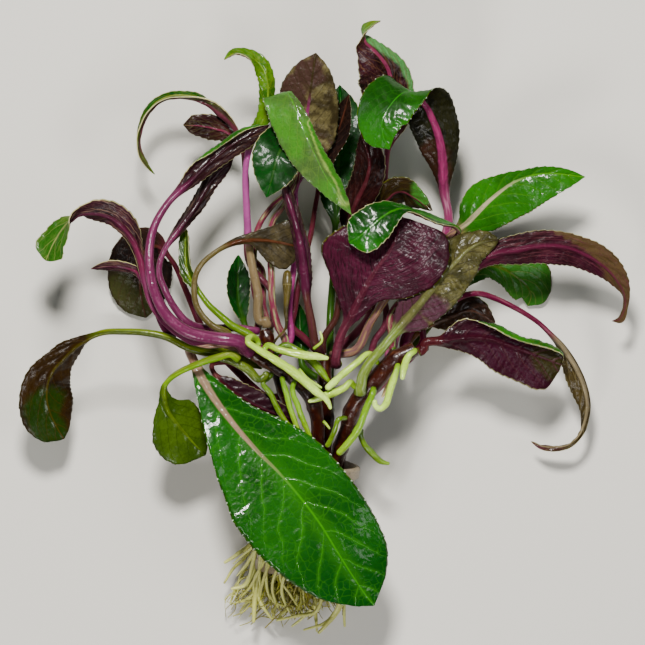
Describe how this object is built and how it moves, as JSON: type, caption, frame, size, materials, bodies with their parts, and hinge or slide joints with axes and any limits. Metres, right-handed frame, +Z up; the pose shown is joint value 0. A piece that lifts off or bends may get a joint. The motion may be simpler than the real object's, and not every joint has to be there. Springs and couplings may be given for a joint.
{
  "type": "bunched aquarium plant",
  "caption": "Leafy bunch of cardinal flower with arching leaves, green above and wine red below, rooted in a small net pot, lying down.",
  "frame": {"origin": "centre of the lying plant's outline, at the height of its lowest point", "axes": "+Y towards the leaf tips, +Z up, away from the surface it lies on, +X to the right as seen from above with the leaf tips pointing away"},
  "size_m": [0.2046, 0.2054, 0.0533],
  "materials": {
    "leaf_green": "wet, glossy",
    "leaf_dark_green": "wet, glossy",
    "leaf_olive": "satin",
    "leaf_wine": "satin",
    "stem_brown": "satin",
    "root_green": "satin",
    "root_straw": "matt",
    "root_ball": "matt",
    "pot_grey": "matt"
  },
  "bodies": {
    "root": {"leaf_back_left_green": "leaf_dark_green", "leaf_back_top": "leaf_dark_green", "leaf_behind_glaucous": "leaf_green", "leaf_behind_right": "leaf_wine", "leaf_centre_dark": "leaf_wine", "leaf_centre_glaucous": "leaf_green", "leaf_centre_glossy": "leaf_green", "leaf_centre_olive": "leaf_olive", "leaf_centre_purple": "leaf_wine", "leaf_centre_ribbed": "leaf_wine", "leaf_crown_green": "leaf_dark_green", "leaf_crown_loop": "leaf_olive", "leaf_dry_sliver": "root_straw", "leaf_front_large": "leaf_green", "leaf_front_purple": "leaf_wine", "leaf_inner_green": "leaf_dark_green", "leaf_left_arch": "leaf_wine", "leaf_left_back": "leaf_olive", "leaf_left_droop": "leaf_olive", "leaf_left_folded": "leaf_green", "leaf_left_great_arch": "leaf_wine", "leaf_left_inner": "leaf_wine", "leaf_left_small": "leaf_wine", "leaf_lower_left": "leaf_olive", "leaf_lower_right": "leaf_wine", "leaf_right_arch": "leaf_wine", "leaf_right_curl": "leaf_wine", "leaf_right_dark": "leaf_dark_green", "leaf_right_green": "leaf_green", "leaf_right_olive": "leaf_olive", "leaf_right_shaded": "leaf_wine", "leaf_top_hood": "leaf_wine", "leaf_top_left_arch": "leaf_green", "leaf_top_left_long": "leaf_green", "leaf_top_left_small": "leaf_wine", "leaf_top_right_arch": "leaf_wine", "net_pot": "pot_grey", "root_ball": "root_ball", "root_cross_pale": "root_green", "root_cut_pale": "root_green", "root_front_long": "root_green", "root_front_upper": "root_green", "root_left_outer": "root_green", "root_left_twin_a": "root_green", "root_left_twin_b": "root_green", "root_lime_long": "root_green", "root_low_right": "root_green", "root_mass": "root_straw", "root_middle_thin": "root_green", "root_right_hook": "root_green", "root_right_upper": "root_green", "root_under_green": "root_green", "stalk_short_green": "leaf_green", "stalk_short_pale": "leaf_green", "stem_back_left": "stem_brown", "stem_back_right": "stem_brown", "stem_centre": "stem_brown", "stem_left": "stem_brown", "stem_right": "stem_brown"}
  },
  "joints": []
}
